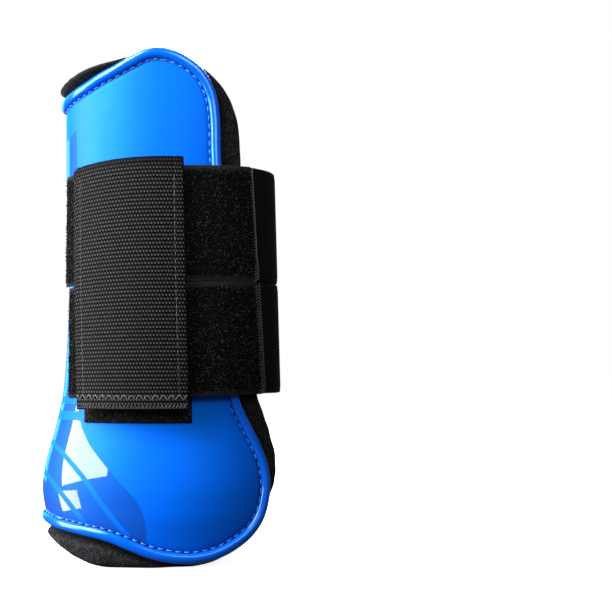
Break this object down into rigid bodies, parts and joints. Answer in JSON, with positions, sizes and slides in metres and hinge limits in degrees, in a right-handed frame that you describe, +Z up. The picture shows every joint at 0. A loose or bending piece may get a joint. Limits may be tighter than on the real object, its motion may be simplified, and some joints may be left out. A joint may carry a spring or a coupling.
{
  "type": "horse tendon boot",
  "caption": "Open-front horse leg guard: moulded shell, neoprene lining, elastic hook-and-loop straps and a webbing cover flap.",
  "frame": {"origin": "centre of the boot's own box, at the height of the flat bottom of the lining that it stands on", "axes": "+Z up the leg, +X to the open front, -Y to the outer side that carries the closure"},
  "size_m": [0.113, 0.0908, 0.2367],
  "materials": {
    "shell_plastic": "satin blue moulded plastic with a gloss printed area at the back",
    "rim_plastic": "glossy rounded rim bead",
    "foam": "closed-cell foam",
    "neoprene": "black knit-faced neoprene",
    "loop_tape": "black loop tape",
    "loop_pile": "black brushed loop pile",
    "hook_tape": "black nylon hook tape",
    "elastic": "black woven elastic",
    "webbing": "black ribbed nylon webbing"
  },
  "bodies": {
    "shell": {"outer_shell": "shell_plastic", "rim_piping": "rim_plastic", "shock_foam": "foam", "neoprene_lining": "neoprene", "fixed_loop_tape": "loop_tape"},
    "upper_strap_front": {"upper_elastic": "elastic"},
    "upper_strap_end": {"upper_loop_strap": "loop_pile", "upper_hook_tape": "hook_tape", "flap_sewn_root": "webbing"},
    "lower_strap_front": {"lower_elastic": "elastic"},
    "lower_strap_end": {"lower_loop_strap": "loop_pile", "lower_hook_tape": "hook_tape"},
    "flap": {"cover_flap": "webbing", "flap_hook_tape": "hook_tape"}
  },
  "joints": [
    {"name": "upper_strap_swing", "type": "hinge", "parent": "shell", "child": "upper_strap_front", "pos_m": [0.03046, 0.02901, 0.1285], "axis": [-0.084, 0.0304, 0.996], "range_deg": [0, 50]},
    {"name": "upper_strap_peel", "type": "hinge", "parent": "upper_strap_front", "child": "upper_strap_end", "pos_m": [0.04099, -0.02986, 0.1285], "axis": [-0.0615, -0.0251, 0.9978], "range_deg": [0, 100]},
    {"name": "lower_strap_swing", "type": "hinge", "parent": "shell", "child": "lower_strap_front", "pos_m": [0.03046, 0.02901, 0.1285], "axis": [-0.084, 0.0304, 0.996], "range_deg": [0, 50]},
    {"name": "lower_strap_peel", "type": "hinge", "parent": "lower_strap_front", "child": "lower_strap_end", "pos_m": [0.04099, -0.02986, 0.1285], "axis": [-0.0615, -0.0251, 0.9978], "range_deg": [0, 100]},
    {"name": "flap_lift", "type": "hinge", "parent": "upper_strap_end", "child": "flap", "pos_m": [-0.01833, -0.03945, 0.1826], "axis": [-0.9493, 0.3028, -0.0846], "range_deg": [0, 150]}
  ],
  "couplings": [
    {"joint": "upper_strap_swing", "follows": "upper_strap_peel", "ratio": 0.5},
    {"joint": "lower_strap_peel", "follows": "upper_strap_peel", "ratio": 1},
    {"joint": "lower_strap_swing", "follows": "upper_strap_peel", "ratio": 0.5}
  ]
}
